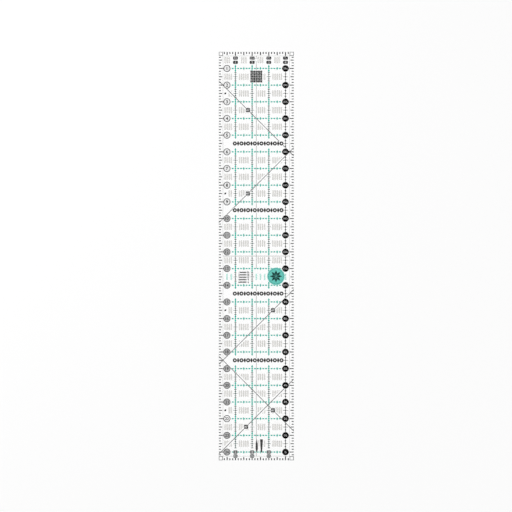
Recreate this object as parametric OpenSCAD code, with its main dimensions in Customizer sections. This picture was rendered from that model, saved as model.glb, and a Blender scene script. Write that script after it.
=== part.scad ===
// Quilting ruler: a clear acrylic blank with its scales, grid, numbers and grip laid on the underside.
// Millimetres. X runs across the ruler and Y along it, with the top end at +Y. The ruler lies face up
// on the XY plane. Places on the printed face are given in inches from its left and top edges.

/* [Blank] */
// Width of the acrylic blank
blank_w = 114.3; // [88.9:12.7:165.1]
// Length of the acrylic blank
blank_l = 622.3; // [317.5:12.7:622.3]
// Thickness of the acrylic sheet
blank_t = 3; // [2.5:0.1:5]
// Flat broken along every outer edge of the blank
edge_break = 0.3; // [0.1:0.05:0.6]
// Diameter of the hanging hole
hang_hole_d = 5; // [4:0.1:5.2]
// Distance of the hanging hole's centre from the top edge
hang_hole_in = 12.7; // [11.5:0.1:13.5]

/* [Print] */
// Thickness of every layer of ink and grip on the underside
print_h = 0.08; // [0.04:0.01:0.2]
// Bare margin between the edge break and the print
print_margin = 0.1; // [0.1:0.05:0.4]
// Bare gap left where one print stops short of another
print_gap = 0.25; // [0.15:0.05:0.4]

/* [Edge scales] */
// Ticks to the inch along the edges, and dashes to the inch on the crosswise lines
edge_divisions = 6; // [4:2:8]
// Width of the ticks along the long edges
tick_w = 1.25; // [0.3:0.05:1.3]
// Width of the ticks along the two ends
end_tick_w = 1.5; // [0.3:0.05:1.6]
// Length of a short tick
short_tick = 2.9; // [2:0.1:4]
// Length of a half inch tick
half_tick = 4.6; // [4:0.1:5.2]
// Length of a whole inch tick
inch_tick = 5.6; // [5:0.1:5.7]
// Distance of the seam allowance lines from the edges
seam_in = 6.35; // [6.25:0.05:6.5]
// Width of the seam allowance lines
seam_w = 0.25; // [0.15:0.05:0.4]
// Width of the outline of the corner squares
corner_stroke = 0.5; // [0.2:0.05:0.8]

/* [Grid] */
// Width of the lengthwise grid lines
long_line_w = 1.1; // [0.3:0.05:1.2]
// Length of the stretch of lengthwise grid line at each whole inch
long_line_run = 11; // [8:0.1:11.2]
// Width of the beads on that stretch
bead_w = 2.4; // [1:0.1:2.6]
// Length of the beads on that stretch
bead_l = 1.8; // [0.8:0.1:2]
// Width of the crosswise dashes
cross_dash_w = 1.8; // [0.6:0.05:2]
// Length of one crosswise dash
cross_dash = 2.8; // [1:0.1:3]
// Height of the half inch tick on a crosswise line
cross_half_tick = 4.4; // [2:0.1:5]
// Width of the half inch tick on a crosswise line
cross_tick_w = 1; // [0.4:0.05:1.2]
// Width of the line that joins the rungs of a ladder
rail_w = 0.65; // [0.2:0.05:0.7]
// Thickness of a ladder rung
rung_w = 1.1; // [0.3:0.05:1.2]
// Thickness of the half inch rung, which is long and fine
long_rung_w = 0.5; // [0.3:0.05:1.2]
// Length of an eighth inch ladder rung
rung_short = 2.4; // [1.4:0.1:3]
// Length of a quarter inch ladder rung
rung_middle = 3; // [2:0.1:4]
// Length of the half inch ladder rung
rung_long = 6.6; // [4:0.1:7.6]
// Width of the guide line down the last whole inch column
guide_line_w = 0.75; // [0.3:0.05:0.9]
// Length of the half inch rung on the guide line
guide_rung = 8; // [5:0.1:8.4]
// Width of the two centre lines
centre_line_w = 0.6; // [0.2:0.05:0.8]
// Width of the 45 degree lines
angle_line_w = 0.85; // [0.4:0.05:1]
// Width of the square labels on the 45 degree lines
angle_label_w = 6.3; // [5.4:0.1:6.6]
// Radius of the corners of those labels
angle_label_r = 0.9; // [0.4:0.1:1.5]

/* [Badges] */
// Outer diameter of the whole inch rings
ring_d = 10.6; // [9.4:0.1:11]
// Width of the stroke of the whole inch rings
ring_stroke = 1.05; // [0.4:0.05:1.2]
// Diameter of the half inch discs
disc_d = 10; // [8.4:0.1:10.2]
// Share of its room that the numeral on a disc fills
disc_fill = 0.8; // [0.6:0.05:1]
// Reach of the small point on a ring or disc
badge_point = 0.7; // [0.4:0.05:0.8]
// Bare space left around the numerals of a badge or label
numeral_clear = 0.35; // [0.25:0.05:0.6]
// Width of a label at the top end
top_label_w = 7.6; // [7.2:0.1:8]
// Height of a label at the top end
top_label_h = 4.9; // [4.4:0.1:5.2]
// Gap between the two labels of a pair at the top end
top_label_gap = 1.5; // [0.6:0.1:1.8]
// Width of a label at the bottom end
bottom_label_w = 6.6; // [6.2:0.1:7.2]
// Height of a label at the bottom end
bottom_label_h = 5.6; // [4.8:0.1:5.8]
// Share of its room that the numeral on a whole inch end label fills
label_fill = 1; // [0.5:0.05:1]
// Radius of the corners of the end labels
label_r = 1.8; // [1.2:0.1:2.1]

/* [Grip] */
// Length of one grip rib along the ruler
rib_l = 10; // [6:0.5:11]
// Width of one grip rib
rib_w = 2.4; // [0.8:0.1:2.5]
// Width of the bare corridor beside each 45 degree line
corridor_w = 5; // [3:0.5:8]
// Diameter of the rings in a grip band
band_ring_d = 6.2; // [5:0.1:6.4]
// Width of the outlines in a grip band
band_stroke = 2; // [0.5:0.05:2.2]
// Spacing of the motifs in a grip band
band_pitch = 5.08; // [4.9:0.02:5.4]

/* [Emblem and keys] */
// Diameter of the emblem disc
emblem_d = 26.4; // [22:0.2:27]
// Reach of the points of the star on the emblem
star_r = 9.6; // [6:0.1:9.8]
// Number of stitches around the star
stitches = 28; // [16:4:36]
// Width of the stitches around the star
stitch_w = 0.6; // [0.3:0.05:0.8]
// Width of the patchwork square
patch_w = 18.2; // [14:0.2:19]
// Number of cells along one side of the patchwork square
patch_cells = 7; // [5:2:9]
// Gap between neighbouring cells of the patchwork square
patch_gap = 0.2; // [0.2:0.05:0.5]
// Height of the numerals in the strip table
table_numeral = 2.9; // [1.6:0.1:3]
// Size of the square patches that lead across the strip table
leader_patch = 1.8; // [0.8:0.1:1.8]
// Distance between the rows of the strip table
table_step = 3.7; // [3.3:0.1:3.8]
// Width of the strip table between the middles of its two columns
table_w = 14; // [13.5:0.5:14.5]
// Length of the pointer marks
pointer_l = 20; // [14:0.5:20]

/* [Hidden] */
$fn = 48;
inch = 25.4;
tiny = 0.001;
turn_strip = inch / 2;              // strip beyond the last whole inch line, at the right and bottom
columns = floor((blank_w - turn_strip) / inch + tiny);
rows = floor((blank_l - turn_strip) / inch + tiny);
grid_divisions = 8;                 // steps to the inch on the lengthwise lines
width_in = blank_w / inch;
length_in = blank_l / inch;
centre_x = width_in / 2;
centre_y = length_in / 2;
margin = edge_break + print_margin;
ring_x = 0.49;                      // column of the whole inch rings
hang_clear = hang_hole_d / 2 + 1.2;

// 45 degree lines: inches down the left edge where each one starts, 1 if it falls or -1 if it climbs,
// and how far across its numerals sit
all_angle_lines = [[1.75, 1, 1.75], [10.25, -1, 1.75], [18.25, 1, 3.25], [18.75, -1, 3.25], [24.125, -1, 1.64]];
angle_lines = [for (a = all_angle_lines) if (angle_fits(a)) a];
band_rows = [for (r = [5, 9, 14, 18]) if (r < rows) r];
mark_rows = [for (r = [2, 8, 15, 21]) if (r < rows) r];
emblem_row = min(13, rows - 1);
patch_at = [centre_x, 1.485];
emblem_at = [columns - 0.57, emblem_row + 0.465];
table_at = [1.49, emblem_row + 0.52];
pointer_y = rows - 0.37;
band_motifs = 2 * floor((columns - 1) * inch / band_pitch / 2) + 1;
band_at = (columns + 0.72) / 2;

function angle_fits(a) = a[0] + min(0, a[1] * width_in) > 0.3
    && a[0] + max(0, a[1] * width_in) < length_in - 0.2;
function angle_y(a, x) = a[0] + a[1] * x;
function digits(n) = n < 10 ? [n] : [floor(n / 10), n % 10];
function is_in(value, list) = len([for (v = list) if (v == value) v]) > 0;

// ---- placing and laying down print ----

// Moves children to a place given in inches from the left and top edges
module at(x, y) {
    translate([x * inch - blank_w / 2, blank_l / 2 - y * inch]) children();
}

// One layer of print against the underside of the blank
module layer() {
    linear_extrude(print_h) children();
}

module bar(w, l) {
    square([w, l], center = true);
}

module rounded(w, h, r) {
    square([w - 2 * r, h], center = true);
    square([w, h - 2 * r], center = true);
    for (x = [-1, 1], y = [-1, 1]) translate([x * (w / 2 - r), y * (h / 2 - r)]) circle(r = r);
}

module ring(d, stroke) {
    difference() {
        circle(d = d);
        circle(d = d - 2 * stroke);
    }
}

// ---- plain block numerals, drawn on a grid three cells wide and five high ----

glyphs = [
    [[0, 0], [3, 0], [3, 5], [0, 5]],
    [[1, 0], [2, 0], [2, 5], [1, 5]],
    [[0, 0], [3, 0], [3, 1], [1, 1], [1, 2], [3, 2], [3, 5], [0, 5], [0, 4], [2, 4], [2, 3], [0, 3]],
    [[0, 0], [3, 0], [3, 5], [0, 5], [0, 4], [2, 4], [2, 3], [0, 3], [0, 2], [2, 2], [2, 1], [0, 1]],
    [[2, 0], [3, 0], [3, 5], [2, 5], [2, 3], [1, 3], [1, 5], [0, 5], [0, 2], [2, 2]],
    [[0, 0], [3, 0], [3, 3], [1, 3], [1, 4], [3, 4], [3, 5], [0, 5], [0, 2], [2, 2], [2, 1], [0, 1]],
    [[0, 0], [3, 0], [3, 3], [1, 3], [1, 4], [3, 4], [3, 5], [0, 5]],
    [[2, 0], [3, 0], [3, 5], [0, 5], [0, 4], [2, 4]],
    [[0, 0], [3, 0], [3, 5], [0, 5]],
    [[0, 0], [3, 0], [3, 5], [0, 5], [0, 2], [2, 2], [2, 1], [0, 1]]
];
// Lower left corner and height of the counters inside 0, 6, 8 and 9
counters = [[[1, 1, 3]], [], [], [], [], [], [[1, 1, 1]], [], [[1, 1, 1], [1, 3, 1]], [[1, 3, 1]]];
digit_w = 0.6;                      // width of a digit as a share of its height
digit_pitch = 0.8;                  // distance between digits as a share of their height
half_size = 0.5;                    // height of a fraction's digits beside a whole number
half_reach_one = 0.97;              // reach of a number and a half from its middle, one digit
half_reach_two = 1.31;              // the same with two digits
number_reach = 0.87;                // reach of a two digit whole number from its middle
fraction_h = 2.44;                  // height of a fraction as a share of its digits' height

module digit(d, h) {
    scale(h / 5) translate([-1.5, -2.5]) difference() {
        polygon(glyphs[d]);
        for (c = counters[d]) translate([c[0], c[1]]) square([1, c[2]]);
    }
}

// A whole number, centred
module numeral(n, h) {
    parts = digits(n);
    for (i = [0:len(parts) - 1]) translate([(i - (len(parts) - 1) / 2) * digit_pitch * h, 0]) digit(parts[i], h);
}

// One half as a fraction over a bar, centred
module one_half(h) {
    translate([0, 0.72 * h]) digit(1, h);
    bar(0.9 * h, 0.18 * h);
    translate([0, -0.72 * h]) digit(2, h);
}

// A whole number and a half, centred; the half alone if the number is 0
module half_numeral(n, h) {
    if (n == 0) one_half(0.62 * h);
    else {
        translate([-0.24 * h, 0]) numeral(n, h);
        translate([(len(digits(n)) * digit_pitch / 2 + 0.12) * h, 0]) one_half(half_size * h);
    }
}

// ---- the blank ----

module acrylic_blank() {
    color([0.9, 0.96, 0.95, 0.35]) difference() {
        translate([-blank_w / 2, -blank_l / 2, print_h]) cube([blank_w, blank_l, blank_t]);
        for (side = [-1, 1], z = [0, blank_t]) {
            translate([side * blank_w / 2, 0, print_h + z]) rotate([0, 45, 0])
                cube([edge_break * sqrt(2), blank_l + 2, edge_break * sqrt(2)], center = true);
            translate([0, side * blank_l / 2, print_h + z]) rotate([45, 0, 0])
                cube([blank_w + 2, edge_break * sqrt(2), edge_break * sqrt(2)], center = true);
        }
        for (x = [-1, 1], y = [-1, 1]) {
            translate([x * blank_w / 2, y * blank_l / 2, print_h + blank_t / 2]) rotate([0, 0, 45])
                cube([edge_break * sqrt(2), edge_break * sqrt(2), blank_t + 2], center = true);
        }
        translate([0, blank_l / 2 - hang_hole_in, print_h - 1]) cylinder(d = hang_hole_d, h = blank_t + 2);
    }
}

// ---- zones that the grid, the lines and the ribs keep clear of, each grown by a gap ----

module badge_zones(gap) {
    for (r = [1:rows]) {
        at(ring_x, r) circle(d = ring_d + 2 * gap);
        at(columns, r) circle(d = disc_d + 2 * gap);
    }
}

module angle_label_zones(gap) {
    for (a = angle_lines) at(a[2], angle_y(a, a[2])) bar(angle_label_w + 2 * gap, angle_label_w + 2 * gap);
}

module band_zones(gap) {
    for (r = band_rows) at(band_at, r + 0.5) bar(band_motifs * band_pitch + 2 * gap, band_ring_d + 2 * gap);
}

module emblem_zone(gap) {
    at(emblem_at[0], emblem_at[1]) circle(d = emblem_d + 2 * gap);
}

module patch_zone(gap) {
    at(patch_at[0], patch_at[1]) bar(patch_w + 2 * gap, patch_w + 2 * gap);
}

module table_zone(gap) {
    tall = (len(strip_widths) + 0.1) * table_step;
    at(table_at[0], table_at[1]) bar(table_w + 1.6 * table_numeral + 2 * gap, tall + 2 * gap);
}

module hang_hole_zone() {
    translate([0, blank_l / 2 - hang_hole_in]) circle(r = hang_clear);
}

module bottom_label_zones(gap) {
    for (c = [1:columns - 1], step = [0, 1])
        place_bottom_label(c, step) bar(bottom_label_w + 2 * gap, bottom_label_h + 2 * gap);
}

module top_label_zones(gap) {
    for (c = [1:columns], step = [0, 1])
        place_top_label(c, step) bar(top_label_w + 2 * gap, top_label_h + 2 * gap);
}

module figure_zones(gap) {
    badge_zones(gap);
    angle_label_zones(gap);
    band_zones(gap);
    emblem_zone(gap);
    patch_zone(gap);
    table_zone(gap);
    hang_hole_zone();
    bottom_label_zones(gap);
    pointer_shapes(gap);
}

// ---- scales along the edges ----

function tick_length(e) = e % edge_divisions == 0 ? inch_tick
    : e % (edge_divisions / 2) == 0 ? half_tick : short_tick;
first_tick = ceil(seam_in * edge_divisions / inch + 0.5);
function last_tick(length) = floor((length - seam_in) * edge_divisions / inch - 0.5);

module side_ticks(side, gap) {
    for (e = [first_tick:last_tick(blank_l)]) {
        reach = tick_length(e);
        translate([side * (blank_w / 2 - margin - reach / 2), blank_l / 2 - e * inch / edge_divisions])
            bar(reach + 2 * gap, tick_w + 2 * gap);
    }
}

module end_ticks(end) {
    for (e = [first_tick:last_tick(blank_w)]) {
        reach = tick_length(e);
        translate([e * inch / edge_divisions - blank_w / 2, end * (blank_l / 2 - margin - reach / 2)])
            bar(end_tick_w, reach);
    }
}

module left_edge_scale() { color([0.1, 0.1, 0.1]) layer() side_ticks(-1, 0); }
module right_edge_scale() { color([0.1, 0.1, 0.1]) layer() side_ticks(1, 0); }
module top_edge_scale() { color([0.1, 0.1, 0.1]) layer() end_ticks(1); }

module bottom_edge_scale() {
    color([0.1, 0.1, 0.1]) layer() difference() {
        end_ticks(-1);
        bottom_label_zones(print_gap);
    }
}

module corner_squares() {
    far = seam_in - seam_w / 2 - print_gap;
    size = far - margin;
    color([0.35, 0.35, 0.35]) layer() for (x = [-1, 1], y = [-1, 1])
        translate([x * (blank_w / 2 - (margin + far) / 2), y * (blank_l / 2 - (margin + far) / 2)]) difference() {
            bar(size, size);
            bar(size - 2 * corner_stroke, size - 2 * corner_stroke);
        }
}

module seam_shape() {
    for (side = [-1, 1]) translate([side * (blank_w / 2 - seam_in), 0]) bar(seam_w, blank_l - 2 * margin);
    for (end = [-1, 1]) translate([0, end * (blank_l / 2 - seam_in)]) bar(blank_w - 2 * margin, seam_w);
}

module seam_allowance_lines() {
    color([0.62, 0.62, 0.62]) layer() difference() {
        seam_shape();
        bottom_label_zones(print_gap);
    }
}

// ---- 45 degree lines ----

// Strip of the given width along one 45 degree line, with its ends parallel to the long edges
module angle_strip(a, w) {
    half = w / sqrt(2);
    reach = blank_w - 2 * margin;
    y0 = blank_l / 2 - a[0] * inch - a[1] * margin;
    y1 = y0 - a[1] * reach;
    polygon([[-reach / 2, y0 - half], [reach / 2, y1 - half], [reach / 2, y1 + half], [-reach / 2, y0 + half]]);
}

module angle_strips(w) {
    for (a = angle_lines) angle_strip(a, w);
}

module angle_lines_45() {
    color([0.22, 0.22, 0.22]) layer() difference() {
        angle_strips(angle_line_w);
        figure_zones(print_gap);
        seam_shape();
        for (side = [-1, 1]) side_ticks(side, print_gap / 2);
    }
}

// Square labels with 45 cut out of them
module angle_labels() {
    h = (angle_label_w - 2 * numeral_clear) / (digit_w + digit_pitch + 0.3);
    color([0.3, 0.3, 0.3]) layer() for (a = angle_lines) at(a[2], angle_y(a, a[2])) difference() {
        rounded(angle_label_w, angle_label_w, angle_label_r);
        translate([-0.15 * h, 0]) numeral(45, h);
        translate([0.75 * h, 0.45 * h]) ring(0.3 * h, 0.08 * h);
    }
}

// ---- grid ----

// The two centre lines, grown by a gap on each side
module centre_shape(gap) {
    at(centre_x, centre_y) {
        bar(centre_line_w + 2 * gap, blank_l - 2 * (seam_in + seam_w));
        bar(blank_w - 2 * (seam_in + seam_w), centre_line_w + 2 * gap);
    }
}

// Grid lines stop at the figures and give way to the centre lines and the 45 degree lines
module cleared() {
    difference() {
        children();
        centre_shape(print_gap);
        angle_strips(angle_line_w + 2 * print_gap);
        figure_zones(print_gap);
    }
}

module lengthwise_grid_lines() {
    color([0.25, 0.75, 0.67]) layer() cleared() {
        for (c = [1:columns - 1], r = [1:rows - 1]) at(c, r) {
            bar(long_line_w, long_line_run);
            for (e = [-1:1]) translate([0, e * inch / grid_divisions]) bar(bead_w, bead_l);
        }
    }
}

function dash_is_clear(c, d) = let (x = c + d / edge_divisions)
    x > ring_x + 0.3 && x < columns - 0.25;

module crosswise_grid_lines() {
    color([0.25, 0.75, 0.67]) layer() cleared() {
        for (r = [1:rows], c = [0:columns - 1], d = [1:edge_divisions - 1]) if (dash_is_clear(c, d))
            at(c + d / edge_divisions, r) {
                bar(cross_dash, cross_dash_w);
                if (d == edge_divisions / 2) bar(cross_tick_w, cross_half_tick);
            }
    }
}

// Rungs about the middle of an inch: a step apart, with their lengths listed from the middle outwards
module rungs(step, lengths) {
    bar(lengths[0], long_rung_w);
    bar(rung_short, rung_w);
    for (i = [1:len(lengths) - 1], side = [-1, 1]) translate([0, side * i * step]) bar(lengths[i], rung_w);
}

module eighth_inch_ladders() {
    step = inch / grid_divisions;
    color([0.2, 0.24, 0.24]) layer() difference() {
        cleared() {
            for (c = [1:columns - 1], r = [1:rows - 1]) if (!is_in(r, band_rows)) at(c, r + 0.5) {
                rungs(step, [rung_long, rung_short, rung_middle]);
                bar(rail_w, 4 * step);
            }
        }
        patch_zone(5 * print_gap);
        emblem_zone(5 * print_gap);
    }
}

module half_inch_guide_line() {
    color([0.15, 0.15, 0.15]) layer() cleared() {
        for (r = [1:rows - 1]) if (r != emblem_row) at(columns, r + 0.5) {
            bar(guide_line_w, inch);
            rungs(inch / edge_divisions, [guide_rung, rung_short]);
        }
    }
}

module centre_lines() {
    color([0.6, 0.6, 0.58]) layer() difference() {
        centre_shape(0);
        angle_strips(angle_line_w + 2 * print_gap);
        figure_zones(print_gap);
        top_label_zones(print_gap);
        at(centre_x, emblem_row + 0.5) bar(rib_w, inch);
    }
}

// ---- numbered badges: whole inches from the top, inches and a half from the bottom ----

ring_numeral = (ring_d / 2 - ring_stroke - numeral_clear) / number_reach;
function disc_numeral(n) = disc_fill * (disc_d / 2 - numeral_clear) / (n < 10 ? half_reach_one : half_reach_two);

module badge_tip(side, d) {
    w = d / 4;
    polygon([[side * (d / 2 + badge_point), 0], [side * d * 0.48, w / 2], [side * d * 0.48, -w / 2]]);
}

module whole_inch_rings() {
    color([0.2, 0.2, 0.2]) layer() {
        for (r = [1:rows]) at(ring_x, r) difference() {
            union() {
                circle(d = ring_d);
                badge_tip(-1, ring_d);
            }
            circle(d = ring_d - 2 * ring_stroke);
        }
    }
}

module ring_backing(r) {
    at(ring_x, r) difference() {
        circle(d = ring_d - 2 * ring_stroke);
        numeral(r, ring_numeral);
    }
}

module one_digit_backing() {
    color([0.97, 0.97, 0.96]) layer() for (r = [1:9]) ring_backing(r);
}

module two_digit_backing() {
    color([0.74, 0.74, 0.74]) layer() for (r = [10:rows]) ring_backing(r);
}

module whole_inch_numerals() {
    color([0.15, 0.15, 0.15]) layer() {
        for (r = [1:rows]) at(ring_x, r) numeral(r, ring_numeral);
    }
}

module half_inch_discs() {
    color([0.02, 0.02, 0.02]) layer() {
        for (r = [1:rows]) at(columns, r) difference() {
            union() {
                circle(d = disc_d);
                badge_tip(1, disc_d);
                badge_tip(-1, disc_d);
            }
            half_numeral(rows - r, disc_numeral(rows - r));
        }
    }
}

module half_inch_numerals() {
    color([0.96, 0.96, 0.96]) layer() {
        for (r = [1:rows]) at(columns, r) half_numeral(rows - r, disc_numeral(rows - r));
    }
}

// ---- end labels: a pair over each whole inch line ----

module place_top_label(c, step) {
    y = seam_in + seam_w / 2 + 3 * print_gap + top_label_h / 2 + step * (top_label_h + top_label_gap);
    at(c, y / inch) children();
}

module place_bottom_label(c, step) {
    at(c, rows) translate([0, -step * (bottom_label_h + 2 * print_gap)]) children();
}

module half_label(n, w, h) {
    difference() {
        rounded(w, h, label_r);
        half_numeral(n, half_label_numeral(h));
    }
}

module whole_label(n, w, h) {
    difference() {
        rounded(w, h, label_r);
        numeral(n, whole_label_numeral(h));
    }
}

function half_label_numeral(h) = (h - 2 * numeral_clear) / fraction_h / half_size;
function whole_label_numeral(h) = label_fill * (h - 2 * numeral_clear);

module top_half_labels() {
    color([0.12, 0.12, 0.13]) layer()
        for (c = [1:columns]) place_top_label(c, 0) half_label(columns - c, top_label_w, top_label_h);
}

module top_half_numerals() {
    color([0.93, 0.93, 0.93]) layer()
        for (c = [1:columns]) place_top_label(c, 0) half_numeral(columns - c, half_label_numeral(top_label_h));
}

module top_whole_labels() {
    color([0.12, 0.12, 0.13]) layer()
        for (c = [1:columns]) place_top_label(c, 1) whole_label(c, top_label_w, top_label_h);
}

module top_whole_numerals() {
    color([0.93, 0.93, 0.93]) layer()
        for (c = [1:columns]) place_top_label(c, 1) numeral(c, whole_label_numeral(top_label_h));
}

module bottom_half_labels() {
    color([0.42, 0.43, 0.43]) layer()
        for (c = [1:columns - 1]) place_bottom_label(c, 1) half_label(columns - c, bottom_label_w, bottom_label_h);
}

module bottom_half_numerals() {
    h = half_label_numeral(bottom_label_h);
    color([0.93, 0.93, 0.93]) layer()
        for (c = [1:columns - 1]) place_bottom_label(c, 1) half_numeral(columns - c, h);
}

module bottom_whole_labels() {
    color([0.42, 0.43, 0.43]) layer()
        for (c = [1:columns - 1]) place_bottom_label(c, 0) whole_label(c, bottom_label_w, bottom_label_h);
}

module bottom_whole_numerals() {
    color([0.93, 0.93, 0.93]) layer()
        for (c = [1:columns - 1]) place_bottom_label(c, 0) numeral(c, whole_label_numeral(bottom_label_h));
}

// ---- grip ----

// An eighth inch column carries ribs unless a lengthwise line, the centre line or a ring is next to it
function rib_is_clear(x) = x > 0.35 && x < columns - 0.2 && abs(x - round(x)) > 0.2
    && abs(x - centre_x) > 0.1;
rib_columns = [for (e = [1:grid_divisions * columns - 1]) if (rib_is_clear(e / grid_divisions)) e / grid_divisions];
rib_rows = [for (r = [0:rows - 1]) if (!is_in(r, band_rows) && r != emblem_row) r];
// The rib next to the left marks is left out in their rows, and the one nearest the hanging hole in the top row
function rib_stays(x, r) = !(is_in(r, mark_rows) && x < 0.6) && !(r == 0 && abs(x - round(x)) < 0.3);

// One rib with round ends
module rib() {
    bar(rib_w, rib_l - rib_w);
    for (end = [-1, 1]) translate([0, end * (rib_l - rib_w) / 2]) circle(d = rib_w);
}

module grip_ribs() {
    color([0.86, 0.86, 0.84, 0.7]) layer() difference() {
        for (r = rib_rows, x = rib_columns) if (rib_stays(x, r)) at(x, r + 0.5) rib();
        angle_strips(corridor_w);
        figure_zones(4 * print_gap);
        centre_shape(2 * print_gap);
    }
}

tinted_columns = [ring_x, 0.75, centre_x, centre_x + 0.25, centre_x + 0.5, columns];

module tinted_grip_ribs() {
    color([0.72, 0.93, 0.88, 0.7]) layer() difference() {
        for (x = tinted_columns) at(x, emblem_row + 0.5) rib();
        figure_zones(print_gap);
        for (c = [1:columns - 1]) at(c, emblem_row + 0.5) bar(rung_long + 2 * print_gap, inch);
    }
}

function band_x(i) = (i - (band_motifs - 1) / 2) * band_pitch;

module grip_band_rings() {
    color([0.36, 0.35, 0.35]) layer() difference() {
        for (r = band_rows, i = [0:2:band_motifs - 1])
            at(band_at, r + 0.5) translate([band_x(i), 0]) ring(band_ring_d, band_stroke);
        angle_label_zones(print_gap);
    }
}

// Lozenge with its upper and lower points cut off
module lozenge(w, h) {
    polygon([[w / 2, 0], [w / 5, h / 2], [-w / 5, h / 2], [-w / 2, 0], [-w / 5, -h / 2], [w / 5, -h / 2]]);
}

module grip_band_lozenges() {
    wide = 2 * band_pitch - band_ring_d - 2 * print_gap;
    color([0.36, 0.35, 0.35]) layer() difference() {
        for (r = band_rows, i = [1:2:band_motifs - 2])
            at(band_at, r + 0.5) translate([band_x(i), 0]) lozenge(wide, band_ring_d);
        angle_label_zones(print_gap);
    }
}

// ---- emblem, patchwork square, strip table and small marks ----

star_points = 8;
lozenge_turn = 180 / star_points;
star_gap = 0.3;
star_side = (star_r - star_gap) / 2 / cos(lozenge_turn);

// Eight point star of diamonds with a round of stitches near the rim
module star() {
    stitch_r = (star_r + emblem_d / 2) / 2;
    for (i = [0:stitches - 1]) rotate(i * 360 / stitches) translate([stitch_r, 0])
        bar(stitch_w, 1.1 * stitch_r * PI / stitches);
    for (i = [0:star_points - 1]) rotate(2 * i * lozenge_turn) translate([star_gap, 0]) polygon([
        [0, 0],
        [star_side * cos(lozenge_turn), star_side * sin(lozenge_turn)],
        [2 * star_side * cos(lozenge_turn), 0],
        [star_side * cos(lozenge_turn), -star_side * sin(lozenge_turn)]
    ]);
}

module emblem_disc() {
    color([0.38, 0.8, 0.76]) layer() difference() {
        emblem_zone(0);
        at(emblem_at[0], emblem_at[1]) star();
        badge_zones(badge_point + print_gap);
    }
}

module emblem_star() {
    color([0.13, 0.3, 0.29]) layer() at(emblem_at[0], emblem_at[1]) star();
}

module patchwork_square() {
    pitch = patch_w / patch_cells;
    half = (patch_cells - 1) / 2;
    color([0.08, 0.08, 0.08]) layer() at(patch_at[0], patch_at[1]) {
        for (i = [-half:half], j = [-half:half]) translate([i * pitch, j * pitch])
            if ((i + j) % 2 == 0) bar(pitch - patch_gap, pitch - patch_gap);
            else circle(d = pitch - patch_gap, $fn = 24);
    }
}

// Strips of each width, in inches, that a yard of cloth gives
yard = 36;
strip_widths = [for (w = [1, 2, 3, 4, 6]) w];

module strip_table() {
    color([0.2, 0.2, 0.2]) layer() at(table_at[0], table_at[1]) {
        for (i = [0:len(strip_widths) - 1]) translate([0, ((len(strip_widths) - 1) / 2 - i) * table_step]) {
            translate([-table_w / 2, 0]) numeral(strip_widths[i], table_numeral);
            for (d = [-2:2]) translate([d * (leader_patch + print_gap) - table_numeral / 4, 0])
                bar(leader_patch, leader_patch);
            translate([table_w / 2, 0]) numeral(yard / strip_widths[i], table_numeral);
        }
    }
}

// Small slanted marks beside the left rings
module row_marks() {
    color([0.12, 0.14, 0.14]) layer() {
        for (r = mark_rows) at(0.39, r + 0.5) polygon([[-1.8, -1.2], [0.8, -1.2], [1.8, 1.3], [-0.7, 1.3]]);
    }
}

module pointer_shapes(gap) {
    half = pointer_l / 2;
    at(centre_x + 0.02, pointer_y) polygon([
        [-0.4 - gap, -half - gap], [0.4 + gap, -half - gap], [2 + gap, -0.4 * half],
        [1.6 + gap, 0.35 * half], [0.3 + gap, half + gap], [-0.3 - gap, half + gap],
        [-1.5 - gap, 0.35 * half], [-1.6 - gap, -0.4 * half]
    ]);
    at(centre_x + 0.31, pointer_y) polygon([
        [-1 - gap, -half - gap], [1 + gap, -half - gap], [2.2 + gap, half + gap], [-2.2 - gap, half + gap]
    ]);
}

module pointer_marks() {
    color([0.3, 0.3, 0.3]) layer() difference() {
        pointer_shapes(0);
        bottom_label_zones(2 * print_gap);
    }
}

acrylic_blank();
left_edge_scale();
right_edge_scale();
top_edge_scale();
bottom_edge_scale();
corner_squares();
seam_allowance_lines();
lengthwise_grid_lines();
crosswise_grid_lines();
eighth_inch_ladders();
half_inch_guide_line();
centre_lines();
angle_lines_45();
angle_labels();
whole_inch_rings();
one_digit_backing();
two_digit_backing();
whole_inch_numerals();
half_inch_discs();
half_inch_numerals();
top_half_labels();
top_half_numerals();
top_whole_labels();
top_whole_numerals();
bottom_half_labels();
bottom_half_numerals();
bottom_whole_labels();
bottom_whole_numerals();
grip_ribs();
tinted_grip_ribs();
grip_band_rings();
grip_band_lozenges();
emblem_disc();
emblem_star();
patchwork_square();
strip_table();
row_marks();
pointer_marks();
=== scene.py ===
"""Looks of a clear quilting ruler, built round its fixed CAD frame.

The ruler lies face up. A polished acrylic sheet sits over a thin print layer, so every number and
line is read through the sheet. Lengths in the classes are in millimetres, and places on the printed
face are in inches from the left and top edges, as a quilter counts them.
"""

from __future__ import annotations

import logging
import math
from contextlib import contextmanager
from dataclasses import dataclass, field
from enum import Enum
from typing import Callable, Iterator, Sequence

import bmesh
import bpy
from mathutils import Matrix, Vector

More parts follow.
